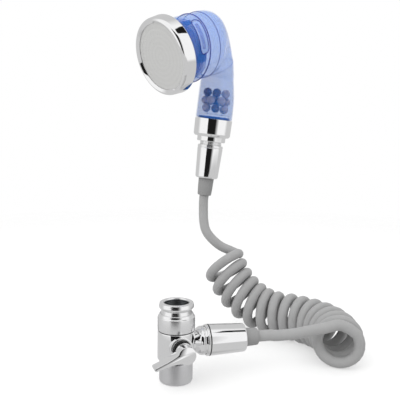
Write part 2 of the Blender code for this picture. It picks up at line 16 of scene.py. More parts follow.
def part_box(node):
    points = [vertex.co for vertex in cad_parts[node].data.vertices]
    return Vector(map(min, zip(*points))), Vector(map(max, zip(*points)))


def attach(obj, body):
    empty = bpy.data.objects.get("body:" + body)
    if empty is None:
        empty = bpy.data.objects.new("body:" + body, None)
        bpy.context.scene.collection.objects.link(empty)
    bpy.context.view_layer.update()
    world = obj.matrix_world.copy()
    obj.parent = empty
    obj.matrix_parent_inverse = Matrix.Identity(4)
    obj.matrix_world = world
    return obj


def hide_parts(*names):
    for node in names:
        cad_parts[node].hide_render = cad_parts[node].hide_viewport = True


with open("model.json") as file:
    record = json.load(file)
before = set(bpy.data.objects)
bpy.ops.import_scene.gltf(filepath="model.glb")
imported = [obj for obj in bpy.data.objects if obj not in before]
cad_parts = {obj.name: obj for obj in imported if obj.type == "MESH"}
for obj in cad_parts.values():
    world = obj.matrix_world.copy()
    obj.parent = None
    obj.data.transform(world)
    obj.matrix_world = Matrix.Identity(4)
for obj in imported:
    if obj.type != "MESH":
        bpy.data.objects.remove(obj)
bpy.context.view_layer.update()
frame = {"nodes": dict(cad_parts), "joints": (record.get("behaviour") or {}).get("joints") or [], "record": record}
JOINTS = {joint["name"]: joint for joint in frame["joints"]}
SLOTS = {part["node"]: part["material_slot"] for part in frame["record"]["subparts"]}

MM = 0.001
Y_AXIS = Vector((0.0, 1.0, 0.0))
Z_AXIS = Vector((0.0, 0.0, 1.0))

# The record's angles and distances that shape the handset and the valve, in degrees and millimetres
FACE_HEADING, HEAD_TILT = 208.0, 23.3
HEAD_CROSSING, FACE_DISTANCE = 101.4, 79.4
STEM_TURN, LEVER_DROP = 4.0, 19.0
LOWER_NUT_X = 22.3

# Handset shell, in millimetres. The barrel's rows are a depth behind the face and a radius, and it starts
# with a wider lip. The handle's rows are a height, how far it leans to the face and a radius, above a plain
# foot.
WALL = 0.7
LIP_FRONT, LIP_BACK, LIP_R = 7.2, 12.1, 31.1
BARREL_BACK = 47.5
BARREL = ((12.4, 29.3), (20.0, 29.2), (33.0, 29.0), (42.0, 28.8), (48.0, 28.7))
ELBOW_CORNER = (17.5, 62.7)
# Oval sections about the elbow's corner: the angle of the plane, the height and the width's share of it. The
# head's and the handle's sections end on either side of the seam.
HEAD_SEAM, HANDLE_SEAM = 142.6, 143.4
HEAD_FAN = ((66.7, 57.4, 1.0), (75.0, 58.0, 0.99), (84.0, 56.8, 0.92), (99.0, 49.8, 0.81),
            (114.0, 42.5, 0.77), (129.0, 36.6, 0.83), (HEAD_SEAM, 33.0, 0.95))
HANDLE_FAN = ((HANDLE_SEAM, 32.9, 0.95), (161.0, 31.0, 1.0), (180.0, 31.0, 1.0))
FOOT_TOP, FOOT_BOTTOM, FOOT_R = 25.0, 14.1, 16.0
HANDLE = ((62.7, 2.0, 15.5), (54.0, 1.1, 16.3), (45.0, 0.3, 17.0), (34.0, 0.0, 17.3), (25.0, 0.0, 17.4))

# Head details, in millimetres and degrees: each raised ring's depth, slant and half thickness, the oblong
# window's middle and slant, and each lug's angles and depths
RAISED_RINGS = (("front_ring", 34.3, 5.3, 0.5), ("back_ring", 46.4, 3.6, 0.3))
WINDOW_ANGLE, WINDOW_DEPTH, WINDOW_SLANT = 25.0, 29.9, 0.158
CUP_LUGS = ((54.0, 67.0, 23.0, 32.0), (-22.0, -4.0, 20.5, 30.0), (113.0, 126.0, 23.0, 32.0),
            (184.0, 202.0, 20.5, 30.0))

# Hose, in millimetres: the tube and its turns, the coil's axis from the handset's end to the valve's, and the
# two tails, each from its nut to the coil
HOSE_R, COIL_TURN_R, COIL_TURNS, POINTS_PER_TURN = 4.4, 16.55, 14.08, 26
COIL_AXIS = ((66.3, 104.3, 4.2), (75.2, 99.5, -14.8), (88, 91.5, -30), (103, 80.5, -39), (120, 66, -40.3),
             (133.5, 46, -40.3), (138.5, 25, -40.3), (136, 5, -40.3), (129.5, -10, -40.3))
# The hanging turns are square to the axis this far ahead and lean this much to the front, less and less until
# this length of the axis
LEAN_AHEAD, LEAN_FRONT, LEAN_END = 12.0, 0.32, 110.0
UPPER_TAIL = ((52.2, 127, 50), (51.8, 123.5, 41), (53, 119.5, 32), (58, 115.5, 24.5), (65.5, 111.5, 18),
              (74, 107.5, 14.2), (80.5, 103, 11.5))
LOWER_TAIL = ((80, -1, -31.8), (88, -2.2, -31.3), (96, -4, -30.2), (108, -7.5, -27.4), (118, -10.6, -25))
# Where the hose starts in its ferrule, and where each sleeve ends, from the nut's open end
FERRULE_BORE_START, SLEEVE_END = 14.0, 48.0
SLEEVE_ENDS = {"upper": SLEEVE_END, "lower": 42.0}

# Valve, in millimetres: the radius of its barrel and union nut, and the count, depth and two ends of the
# flutes round the nut
VALVE_R = 14.1
GRIP_FLUTES, GRIP_DEPTH, GRIP_TOP, GRIP_BOTTOM = 96, 0.12, -11.0, -20.7
# Lever: its lobe's radius and the angle where the tail joins it, its tip's place and radius, its back,
# thickness and rounded edge, and how far in and out the raised face at its front is
LOBE_R, LOBE_JOIN, TIP_X, TIP_R = 6.7, 30.5, -23.8, 1.25
LEVER_BACK, LEVER_THICK, LEVER_EDGE = 21.0, 9.0, 0.5
LEVER_INSET, LEVER_RAISED = 0.7, 0.25

# Studio: the floor's place and radius, its cover near the middle, and where that starts and stops to fade, in
# metres
FLOOR_PLACE, FLOOR_RADIUS = (0.06, 0.05, -61.6 * MM), 2.4
FLOOR_COVER, FLOOR_FADE = 0.5, (0.25, 0.9)
WHITE = (1.0, 1.0, 1.0, 1.0)


# ---------------------------------------------------------------- frames

def joint_origin(name):
    """Where a joint's axis is, in the row frame."""
    return Vector(JOINTS[name]["pos_m"])


def handset_frame():
    """+Z up the handle and -Y towards the face."""
    joint = JOINTS["handset_swivel"]
    lean = Z_AXIS.rotation_difference(Vector(joint["axis"])).to_matrix().to_4x4()
    turn = Matrix.Rotation(math.radians(FACE_HEADING + 90.0), 4, "Z")
    return Matrix.Translation(joint_origin("handset_swivel")) @ lean @ turn


def head_frame():
    """+Z out of the face, with its origin at the face ring's front."""
    tilt = math.radians(HEAD_TILT)
    out = Vector((0.0, -math.cos(tilt), -math.sin(tilt)))
    place = Vector((0.0, 0.0, HEAD_CROSSING * MM)) + out * FACE_DISTANCE * MM
    turn = Matrix.Rotation(math.radians(90.0 + HEAD_TILT), 4, "X")
    return HANDSET @ Matrix.Translation(place) @ turn


VALVE = Matrix.Identity(4)
PORT = Matrix.Translation(joint_origin("lever_turn"))
SIDE = PORT @ Matrix.Rotation(math.radians(90.0), 4, "Y")
STEM = PORT @ Matrix.Rotation(math.radians(STEM_TURN), 4, "Z") @ Matrix.Rotation(math.radians(90.0), 4, "X")
LEVER = STEM @ Matrix.Rotation(math.radians(LEVER_DROP), 4, "Z")
LOWER_NUT = SIDE @ Matrix.Translation((0.0, 0.0, LOWER_NUT_X * MM))
HANDSET = handset_frame()
UPPER_NUT = HANDSET @ Matrix.Rotation(math.pi, 4, "X")
HEAD = head_frame()


# ---------------------------------------------------------------- materials

class Nodes:
    """A material's node tree, with short calls that add and join its nodes."""

    def __init__(self, name):
        self.material = bpy.data.materials.new(name)
        self.material.use_nodes = True
        self.tree = self.material.node_tree
        self.shader = self.tree.nodes["Principled BSDF"]

    def add(self, kind, inputs=None, **settings):
        """Adds a node, sets its settings, and sets or links its inputs."""
        node = self.tree.nodes.new(kind)
        for key, value in settings.items():
            setattr(node, key, value)
        for key, value in (inputs or {}).items():
            self.put(node, key, value)
        return node

    def put(self, node, key, value):
        """Sets an input to a value, or links it to a socket."""
        if isinstance(value, bpy.types.NodeSocket):
            self.tree.links.new(value, node.inputs[key])
        else:
            node.inputs[key].default_value = value

    def set(self, **values):
        """Sets the Principled shader's inputs by name, with _ for a space."""
        for key, value in values.items():
            self.put(self.shader, key.replace("_", " "), value)

    def place(self, stretch=(1.0, 1.0, 1.0)):
        """The object's own coordinates, stretched."""
        where = self.add("ShaderNodeTexCoord").outputs["Object"]
        return self.add("ShaderNodeMapping", {"Vector": where, "Scale": stretch}).outputs["Vector"]

    def noise(self, scale, detail=3.0, stretch=(1.0, 1.0, 1.0)):
        """Noise from 0 to 1, at a scale in cells a metre."""
        node = self.add("ShaderNodeTexNoise", {"Vector": self.place(stretch), "Scale": scale,
                                               "Detail": detail})
        return node.outputs["Fac"]

    def spread(self, factor, low, high, start=0.3, end=0.7):
        """Maps a factor from start..end to low..high."""
        node = self.add("ShaderNodeMapRange", {"Value": factor, "From Min": start, "From Max": end,
                                               "To Min": low, "To Max": high})
        return node.outputs["Result"]

    def blend(self, factor, first, second):
        """Mixes two colours by a factor."""
        node = self.add("ShaderNodeMix", data_type="RGBA")
        self.put(node, 0, factor)
        self.put(node, 6, colour(first))
        self.put(node, 7, colour(second))
        return node.outputs[2]

    def bump(self, height, strength, distance):
        """Links a height to the shader's normal."""
        node = self.add("ShaderNodeBump", {"Height": height, "Strength": strength, "Distance": distance})
        self.put(self.shader, "Normal", node.outputs["Normal"])

    def maths(self, operation, first, second=0.0):
        """One Math node."""
        node = self.add("ShaderNodeMath", operation=operation)
        self.put(node, 0, first)
        self.put(node, 1, second)
        return node.outputs[0]


def colour(value):
    """A colour with its alpha, or a socket as it is."""
    return value if isinstance(value, bpy.types.NodeSocket) else (*value, 1.0)


def chrome_material(name, smooth, hazy):
    """Polished plating: a mirror with faint hazy patches and the slightest orange peel."""
    n = Nodes(name)
    n.set(Metallic=1.0, Base_Color=n.blend(n.noise(60.0), (0.86, 0.86, 0.87), (0.90, 0.90, 0.90)))
    n.set(Roughness=n.spread(n.noise(90.0), smooth, hazy))
    n.bump(n.noise(700.0, 2.0), 0.05, 0.0001)
    return n.material


def satin_material():
    """Satin plating with fine lines round the piece."""
    n = Nodes("satin_metal")
    n.set(Metallic=1.0, Base_Color=n.blend(n.noise(150.0), (0.64, 0.64, 0.65), (0.74, 0.74, 0.75)))
    lines = n.noise(300.0, 4.0, (1.0, 1.0, 22.0))
    n.set(Roughness=n.spread(lines, 0.34, 0.48))
    n.bump(lines, 0.10, 0.0002)
    return n.material


def plate_material():
    """Matt steel with faint turned rings about its centre."""
    n = Nodes("plate_steel")
    where = n.add("ShaderNodeSeparateXYZ", {"Vector": n.place((1000.0, 1000.0, 0.0))})
    x, y = where.outputs["X"], where.outputs["Y"]
    radius = n.maths("SQRT", n.maths("ADD", n.maths("MULTIPLY", x, x), n.maths("MULTIPLY", y, y)))
    rings = n.maths("SINE", n.maths("MULTIPLY", radius, 1.45))
    n.set(Metallic=0.75, Base_Color=n.blend(n.spread(rings, 0.0, 1.0, -1.0, 1.0),
                                            (0.73, 0.73, 0.72), (0.75, 0.75, 0.74)))
    n.set(Roughness=n.spread(n.noise(400.0), 0.42, 0.52))
    n.bump(rings, 0.02, 0.0003)
    return n.material


def blue_material(name, deep, light, alpha, roughness=0.10):
    """Translucent moulded plastic, a little cloudy, with a glossy skin."""
    n = Nodes(name)
    n.set(Base_Color=n.blend(n.spread(n.noise(28.0), 0.0, 1.0), deep, light))
    n.set(Roughness=n.spread(n.noise(120.0), roughness, roughness + 0.06), IOR=1.38)
    n.set(Alpha=alpha)
    n.bump(n.noise(260.0, 2.0), 0.04, 0.0002)
    return n.material


def hose_material():
    """Matt grey hose with a soft sheen and a faint grain."""
    n = Nodes("grey_hose")
    n.set(Base_Color=n.blend(n.noise(220.0, 5.0), (0.275, 0.275, 0.275), (0.32, 0.32, 0.32)))
    n.set(Roughness=n.spread(n.noise(160.0), 0.48, 0.60), Sheen_Weight=0.15, Sheen_Roughness=0.5)
    n.bump(n.noise(1500.0, 4.0), 0.10, 0.0002)
    return n.material


def sleeve_material():
    """Matt grey sleeve over each end of the hose."""
    n = Nodes("grey_sleeve")
    n.set(Base_Color=n.blend(n.noise(200.0, 5.0), (0.225, 0.225, 0.225), (0.26, 0.26, 0.26)))
    n.set(Roughness=n.spread(n.noise(200.0), 0.50, 0.65))
    n.bump(n.noise(1800.0, 4.0), 0.15, 0.0002)
    return n.material


def mineral_material(name, dark, light):
    """Unglazed mineral balls, speckled and slightly pitted."""
    n = Nodes(name)
    n.set(Base_Color=n.blend(n.spread(n.noise(1100.0, 4.0), 0.0, 1.0, 0.42, 0.62), dark, light))
    n.set(Roughness=n.spread(n.noise(700.0), 0.55, 0.75))
    n.bump(n.noise(2200.0, 3.0), 0.4, 0.0002)
    return n.material


def plain_material(name, dark, light, roughness, metallic=0.0, grain=500.0, bump=0.10):
    """A plain finish with a little variation of colour, gloss and surface."""
    n = Nodes(name)
    n.set(Metallic=metallic, Base_Color=n.blend(n.noise(grain * 0.5), dark, light))
    n.set(Roughness=n.spread(n.noise(grain * 0.7), roughness - 0.04, roughness + 0.06))
    n.bump(n.noise(grain * 3.0, 4.0), bump, 0.0002)
    return n.material


FINISHES = {
    "chrome": chrome_material("chrome", 0.035, 0.085),
    "soft_chrome": chrome_material("soft_chrome", 0.20, 0.26),
    "satin_metal": satin_material(),
    "plate_steel": plate_material(),
    # The steel_mesh finish is kept darker than bare steel: painted shade for the dark hollow of the inlet's mouth;
    # the aerator's mesh and the grub screw wear it too.
    "steel_mesh": plain_material("steel_mesh", (0.16, 0.17, 0.18), (0.26, 0.27, 0.28), 0.40, 1.0, 600.0),
    "brass": plain_material("brass", (0.66, 0.48, 0.22), (0.78, 0.60, 0.32), 0.28, 1.0, 300.0),
    "blue_shell": blue_material("blue_shell", (0.03, 0.25, 0.82), (0.05, 0.30, 0.90), 0.24),
    "blue_inner": blue_material("blue_inner", (0.30, 0.19, 0.52), (0.37, 0.24, 0.60), 0.36),
    "blue_handle": blue_material("blue_handle", (0.015, 0.21, 0.70), (0.025, 0.25, 0.78), 0.23),
    "blue_edge": blue_material("blue_edge", (0.02, 0.03, 0.30), (0.04, 0.05, 0.38), 0.70),
    "clear_grid": blue_material("clear_grid", (0.04, 0.25, 0.80), (0.06, 0.30, 0.88), 0.05),
    "grey_hose": hose_material(),
    "grey_sleeve": sleeve_material(),
    "black_rubber": plain_material("black_rubber", (0.02, 0.02, 0.02), (0.04, 0.04, 0.04), 0.65, 0.0,
                                   900.0, 0.3),
    "white_plastic": plain_material("white_plastic", (0.74, 0.76, 0.78), (0.82, 0.83, 0.84), 0.38, 0.0,
                                    400.0),
    # mineral is a darkened copy of mineral_light, worn by the balls of the front middle column: painted shade, a
    # dark stripe down that column.
    "mineral": mineral_material("mineral", (0.13, 0.06, 0.03), (0.20, 0.10, 0.06)),
    "mineral_light": mineral_material("mineral_light", (0.52, 0.40, 0.33), (0.62, 0.48, 0.41)),
}

# Finishes that are variants of a slot's own, and the CAD nodes that show one in place of their slot's
CAD_FINISHES = {"upper_ball_grid": "clear_grid", "lower_ball_grid": "clear_grid"}


# ---------------------------------------------------------------- builders

def add_piece(name, mesh, place, finish, body, nodes=(), angle=32.0):
    """Links a mesh as a piece that rides on a body, with a finish and its slot, in place of CAD nodes."""
    mesh.materials.append(FINISHES[finish])
    mesh.shade_smooth()
    mesh.set_sharp_from_angle(angle=math.radians(angle))
    piece = bpy.data.objects.new(name, mesh)
    piece.matrix_world = place
    bpy.context.scene.collection.objects.link(piece)
    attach(piece, body)
    if nodes:
        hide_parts(*nodes)
    return piece


def eased(profile, closed, fillet=0.25, arc=4):
    """Rounds a profile's corners. A point is (radius, height), or (radius, height, its own fillet)."""
    points = [Vector((p[0], p[1])) for p in profile]
    fillets = [p[2] if len(p) > 2 else fillet for p in profile]
    count, made = len(points), []
    for i, point in enumerate(points):
        if not closed and i in (0, count - 1):
            made.append(point)
            continue
        back, ahead = points[i - 1] - point, points[(i + 1) % count] - point
        if back.length < 1e-6 or ahead.length < 1e-6:
            continue
        bend = math.pi - back.angle(ahead)
        size = min(fillets[i], 0.45 * back.length, 0.45 * ahead.length)
        if bend < math.radians(4.0) or size < 0.01:
            made.append(point)
            continue
        start, end = point + back.normalized() * size, point + ahead.normalized() * size
        for k in range(arc + 1):
            t = k / arc
            made.append((1 - t) ** 2 * start + 2 * t * (1 - t) * point + t * t * end)
    return made


def lathe_mesh(name, profile, steps=96, fillet=0.25, arc=4):
    """A turned mesh from a profile in millimetres, down the outer side from the top."""
    closed = profile[0][0] > 0.0
    line = eased(profile, closed, fillet, arc)
    shape = bmesh.new()
    columns = []
    for k in range(steps):
        a = 2.0 * math.pi * k / steps
        columns.append([None if p.x < 1e-6 else
                        shape.verts.new((p.x * math.cos(a) * MM, p.x * math.sin(a) * MM, p.y * MM))
                        for p in line])
    poles = {i: shape.verts.new((0.0, 0.0, p.y * MM)) for i, p in enumerate(line) if p.x < 1e-6}
    for k in range(steps):
        left, right = columns[k], columns[(k + 1) % steps]
        for i in range(len(line) if closed else len(line) - 1):
            j = (i + 1) % len(line)
            corners = [left[i] or poles[i], left[j] or poles[j], right[j] or poles[j], right[i] or poles[i]]
            shape.faces.new(list(dict.fromkeys(corners)))
    bmesh.ops.recalc_face_normals(shape, faces=shape.faces)
    mesh = bpy.data.meshes.new(name)
    shape.to_mesh(mesh)
    shape.free()
    return mesh


def turned(name, profile, place, finish, body, nodes=(), steps=96, fillet=0.25, arc=4):
    """A turned piece."""
    return add_piece(name, lathe_mesh(name, profile, steps, fillet, arc), place, finish, body, nodes)


def ring(name, outer, inner, top, bottom, place, finish, body, nodes=(), fillet=0.25):
    """A turned ring."""
    profile = [(outer, top), (outer, bottom), (inner, bottom), (inner, top)]
    return turned(name, profile, place, finish, body, nodes, 72, fillet)


def threaded(radius, top, bottom, pitch=1.4, depth=0.55):
    """Profile points of ring grooves down a thread, from top to bottom."""
    count = int((top - bottom) / pitch)
    points = []
    for i in range(count):
        high = top - i * pitch
        points += [(radius - depth, high, 0.05), (radius - depth, high - 0.25 * pitch, 0.1),
                   (radius, high - 0.55 * pitch, 0.1), (radius, high - 0.75 * pitch, 0.1)]
    return points


def smooth_values(table, key):
    """A smooth value at a key, through a table of (key, value) in rising or falling order."""
    rows = table if table[0][0] < table[-1][0] else table[::-1]
    key = min(max(key, rows[0][0]), rows[-1][0])
    slopes = []
    for i in range(len(rows)):
        a, b = rows[max(i - 1, 0)], rows[min(i + 1, len(rows) - 1)]
        slopes.append((b[1] - a[1]) / (b[0] - a[0]))
    for i in range(len(rows) - 1):
        (k0, v0), (k1, v1) = rows[i], rows[i + 1]
        if key <= k1:
            w, t = k1 - k0, (key - k0) / (k1 - k0)
            return ((2 * t ** 3 - 3 * t * t + 1) * v0 + (t ** 3 - 2 * t * t + t) * w * slopes[i]
                    + (3 * t * t - 2 * t ** 3) * v1 + (t ** 3 - t * t) * w * slopes[i + 1])
    return rows[-1][1]


def smooth_route(points, spacing):
    """Points along a smooth curve through a route, about one spacing apart."""
    route = [Vector(p) for p in points]
    route = [2 * route[0] - route[1]] + route + [2 * route[-1] - route[-2]]
    fine = []
    for a, b, c, d in zip(route, route[1:], route[2:], route[3:]):
        for step in range(32):
            t = step / 32.0
            fine.append(0.5 * (2 * b + (c - a) * t + (2 * a - 5 * b + 4 * c - d) * t * t
                               + (3 * b - a - 3 * c + d) * t ** 3))
    fine.append(route[-2])
    lengths = [0.0]
    for a, b in zip(fine, fine[1:]):
        lengths.append(lengths[-1] + (b - a).length)
    count = max(2, round(lengths[-1] / spacing))
    even, k = [], 0
    for i in range(count + 1):
        target = lengths[-1] * i / count
        while k < len(fine) - 2 and lengths[k + 1] < target:
            k += 1
        even.append(fine[k].lerp(fine[k + 1], (target - lengths[k]) / (lengths[k + 1] - lengths[k])))
    return even


# ---------------------------------------------------------------- camera and studio

CAMERA_PLACE = Vector((-89.7, -428.0, 130.6)) * MM
CAMERA_AZIMUTH, CAMERA_ELEVATION, CAMERA_ROLL = -14.0, 7.0, 0.8
CAMERA_LENS, SENSOR = 54.0, 36.0


def make_camera():
    """Camera at the object's own viewing angle."""
    data = bpy.data.cameras.new("camera")
    data.lens, data.sensor_width = CAMERA_LENS, SENSOR
    data.clip_start, data.clip_end = 0.01, 50.0
    camera = bpy.data.objects.new("camera", data)
    bpy.context.scene.collection.objects.link(camera)
    back = direction(CAMERA_AZIMUTH, CAMERA_ELEVATION)
    turn = (-back).to_track_quat("-Z", "Y").to_matrix().to_4x4()
    roll = Matrix.Rotation(math.radians(CAMERA_ROLL), 4, "Z")
    camera.matrix_world = Matrix.Translation(CAMERA_PLACE) @ turn @ roll
    bpy.context.scene.camera = camera


def add_light(name, place, target, size, power):
    """A square softbox that points at a target."""
    data = bpy.data.lights.new(name, "AREA")
    data.shape, data.size, data.energy = "SQUARE", size, power
    light = bpy.data.objects.new(name, data)
    bpy.context.scene.collection.objects.link(light)
    light.location = place
    light.rotation_mode = "QUATERNION"
    light.rotation_quaternion = (Vector(target) - Vector(place)).to_track_quat("-Z", "Y")
    light.visible_glossy = False


# Dark gaps between the studio's white panels: azimuth and elevation of the middle, half sizes, how far the
# right edge fades and how far the top leans to the right, in degrees. A little light is left in them.
GAP_LIGHT = 0.012
DARK_GAPS = ((-18.0, 14.5, 29.0, 30.5, 20.0, 0.0), (62.0, 57.0, 7.0, 10.0, 0.5, -22.0))
# The white panels face this way; those behind are dimmer, and so is the floor, in two steps of height
FRONT_PANEL, BACK_LIGHT = (-15.0, 10.0), 0.62
FLOOR_SHADES = ((-0.26, -0.165, 0.62), (-0.96, -0.80, 0.48))
# Matt surfaces see a plain light that rises from one strength to another between two heights
SOFT_LIGHT = (-0.6, 0.9, 0.50, 1.40)


def direction(azimuth, elevation):
    """A unit vector, its azimuth from -Y towards +X, in degrees."""
    a, e = math.radians(azimuth), math.radians(elevation)
    return Vector((math.sin(a) * math.cos(e), -math.cos(a) * math.cos(e), math.sin(e)))


def make_world():
    """White panels with dark gaps for reflections, a soft light for matt surfaces and a plain background."""
    world = bpy.data.worlds.new("studio")
    bpy.context.scene.world = world
    world.use_nodes = True
    tree = world.node_tree
    tree.nodes.clear()

    def node(kind, operation=None, *inputs):
        made = tree.nodes.new(kind)
        if operation:
            made.operation = operation
        for key, value in enumerate(inputs):
            if isinstance(value, bpy.types.NodeSocket):
                tree.links.new(value, made.inputs[key])
            elif value is not None:
                made.inputs[key].default_value = value
        return made

    def math_node(operation, first, second=0.0):
        return node("ShaderNodeMath", operation, first, second).outputs[0]

    def ramp(value, start, end, low, high):
        made = node("ShaderNodeMapRange", None, value, start, end, low, high)
        return made.outputs["Result"]

    where = tree.nodes.new("ShaderNodeTexCoord").outputs["Generated"]
    height = tree.nodes.new("ShaderNodeSeparateXYZ")
    tree.links.new(where, height.inputs[0])
    front = node("ShaderNodeVectorMath", "DOT_PRODUCT", where, direction(*FRONT_PANEL)).outputs["Value"]
    light = ramp(front, -0.15, 0.15, BACK_LIGHT, 1.0)
    for start, end, low in FLOOR_SHADES:
        light = math_node("MINIMUM", light, ramp(height.outputs["Z"], start, end, low, 1.0))
    for azimuth, elevation, half_wide, half_high, fade, lean in DARK_GAPS:
        middle = direction(azimuth, elevation)
        right = Matrix.Rotation(math.radians(-lean), 3, middle) @ direction(azimuth + 90.0, 0.0)
        up = right.cross(middle)
        ahead = node("ShaderNodeVectorMath", "DOT_PRODUCT", where, middle).outputs["Value"]
        wide = node("ShaderNodeVectorMath", "DOT_PRODUCT", where, right).outputs["Value"]
        high = node("ShaderNodeVectorMath", "DOT_PRODUCT", where, up).outputs["Value"]
        right_edge = [math.tan(math.radians(half_wide + side * fade / 2.0)) for side in (-1.0, 1.0)]
        slope = math_node("DIVIDE", wide, ahead)
        height_slope = math_node("ABSOLUTE", math_node("DIVIDE", high, ahead))
        inside = ramp(slope, right_edge[0], right_edge[1], 1.0, 0.0)
        for test in (math_node("GREATER_THAN", ahead, 0.0),
                     math_node("GREATER_THAN", slope, -math.tan(math.radians(half_wide))),
                     math_node("LESS_THAN", height_slope, math.tan(math.radians(half_high)))):
            inside = math_node("MULTIPLY", inside, test)
        light = math_node("MULTIPLY", light, math_node("SUBTRACT", 1.0, inside))
    panels = node("ShaderNodeBackground", None, WHITE, math_node("ADD", light, GAP_LIGHT))
    soft = node("ShaderNodeBackground", None, WHITE, ramp(height.outputs["Z"], *SOFT_LIGHT))
    plain = node("ShaderNodeBackground", None, WHITE, 1.0)
    path = tree.nodes.new("ShaderNodeLightPath").outputs
    mix = node("ShaderNodeMixShader", None, path["Is Diffuse Ray"], panels.outputs[0], soft.outputs[0])
    mix = node("ShaderNodeMixShader", None, path["Is Camera Ray"], mix.outputs[0], plain.outputs[0])
    output = tree.nodes.new("ShaderNodeOutputWorld")
    tree.links.new(mix.outputs[0], output.inputs["Surface"])


def make_floor():
    """Round pale floor that fades into the background."""
    shape = bmesh.new()
    bmesh.ops.create_circle(shape, cap_ends=True, segments=96, radius=FLOOR_RADIUS)
    mesh = bpy.data.meshes.new("floor")
    shape.to_mesh(mesh)
    shape.free()
    floor = bpy.data.objects.new("floor", mesh)
    floor.location = FLOOR_PLACE
    floor.visible_glossy = False
    bpy.context.scene.collection.objects.link(floor)
    n = Nodes("floor")
    n.set(Base_Color=(0.90, 0.90, 0.90, 1.0), Roughness=0.9, Specular_IOR_Level=0.0)
    away = n.add("ShaderNodeVectorMath", operation="LENGTH")
    n.put(away, 0, n.place())
    n.set(Alpha=n.spread(away.outputs["Value"], FLOOR_COVER, 0.0, *FLOOR_FADE))
    mesh.materials.append(n.material)


# ---------------------------------------------------------------- hose

def coil_points():
    """The helix round the coil's axis, worked out from the valve's end; its turns lean where it hangs."""
    step = 1.2
    axis = smooth_route(COIL_AXIS, step)
    count = round(COIL_TURNS * POINTS_PER_TURN)

    def on_axis(at):
        k = max(0, min(int(at), len(axis) - 2))
        return axis[k].lerp(axis[k + 1], min(max(at - k, 0.0), 1.0))

    normal, points = Z_AXIS.copy(), []
    for i in range(count, -1, -1):
        at = (len(axis) - 1) * i / count
        lean = max(0.0, 1.0 - at * step / LEAN_END)
        ahead = at + LEAN_AHEAD * lean / step
        along = (on_axis(ahead + 1.0) - on_axis(ahead - 1.0)).normalized() - LEAN_FRONT * lean * Y_AXIS
        along.normalize()
        normal = (normal - normal.dot(along) * along).normalized()
        side = along.cross(normal)
        angle = 2.0 * math.pi * (i - count) / POINTS_PER_TURN
        points.append(on_axis(at) + COIL_TURN_R * (math.cos(angle) * normal + math.sin(angle) * side))
    return points[::-1]


def hose_points():
    """The whole hose, from the upper ferrule through the coil to the lower ferrule, in millimetres.

    Each tail starts just inside its ferrule's bore and runs straight until a little past its sleeve.
    """
    helix = coil_points()
    depths = (FERRULE_BORE_START + 0.4, 25.0, 37.0, SLEEVE_END, SLEEVE_END + 5.0)
    upper = [UPPER_NUT @ Vector((0.0, 0.0, t * MM)) / MM for t in depths] + [Vector(p) for p in UPPER_TAIL]
    lower = [LOWER_NUT @ Vector((0.0, 0.0, t * MM)) / MM for t in depths] + [Vector(p) for p in LOWER_TAIL]
    start = smooth_route(upper + [helix[1], helix[4]], 3.0)
    end = smooth_route(lower + [helix[-1], helix[-4]], 3.0)
    return start[:-1] + helix[4:-4] + end[-2::-1]


def make_hose():
    """The free hose, one smooth tube."""
    points = hose_points()
    curve = bpy.data.curves.new("hose", "CURVE")
    curve.dimensions = "3D"
    curve.bevel_depth = HOSE_R * MM
    curve.bevel_resolution = 6
    curve.use_fill_caps = True
    spline = curve.splines.new("POLY")
    spline.points.add(len(points) - 1)
    for point, place in zip(spline.points, points):
        point.co = (*(place * MM), 1.0)
    spline.use_smooth = True
    curve.materials.append(FINISHES["grey_hose"])
    hose = bpy.data.objects.new("hose", curve)
    bpy.context.scene.collection.objects.link(hose)
    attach(hose, "valve")
    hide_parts("hose_tail_upper", "hose_coil", "hose_tail_lower")
    return hose


def make_hose_end(which, place):
    """Conical nut and sleeve at one end of the hose, and the lower nut's black ring. Returns the sleeve."""
    body = "handset" if which == "upper" else "lower_nut"
    turned(which + "_nut_shell", [
        (6.6, 31.5, 0.3), (10.68, 31.5, 2.2), (12.0, 2.9, 0.3), (11.75, 2.6, 0.1),
        (11.75, 2.2, 0.1), (12.05, 1.9, 0.15), (12.05, 1.2, 0.15), (11.8, 0.95, 0.1), (11.8, 0.6, 0.1),
        (11.6, 0.0, 0.25), (10.75, 0.0, 0.2), (10.75, 13.4), (6.6, 13.4),
    ], place, "chrome", body, [which + "_hose_nut"], 128, 0.25, 8)
    if which == "lower":
        ring("nut_groove_ring", 11.98, 11.0, 2.95, 2.1, place, "black_rubber", body, (), 0.1)
    end = SLEEVE_ENDS[which]
    return turned(which + "_sleeve", [
        (4.55, end, 0.1), (6.5, end, 0.9), (6.95, end - 7.0, 0.4), (7.3, 31.8, 0.1), (6.2, 31.8), (6.2, 29.3),
        (4.75, 29.3),
    ], place, "grey_sleeve", "valve", [which + "_strain_relief"], 72)


# ---------------------------------------------------------------- diverter valve

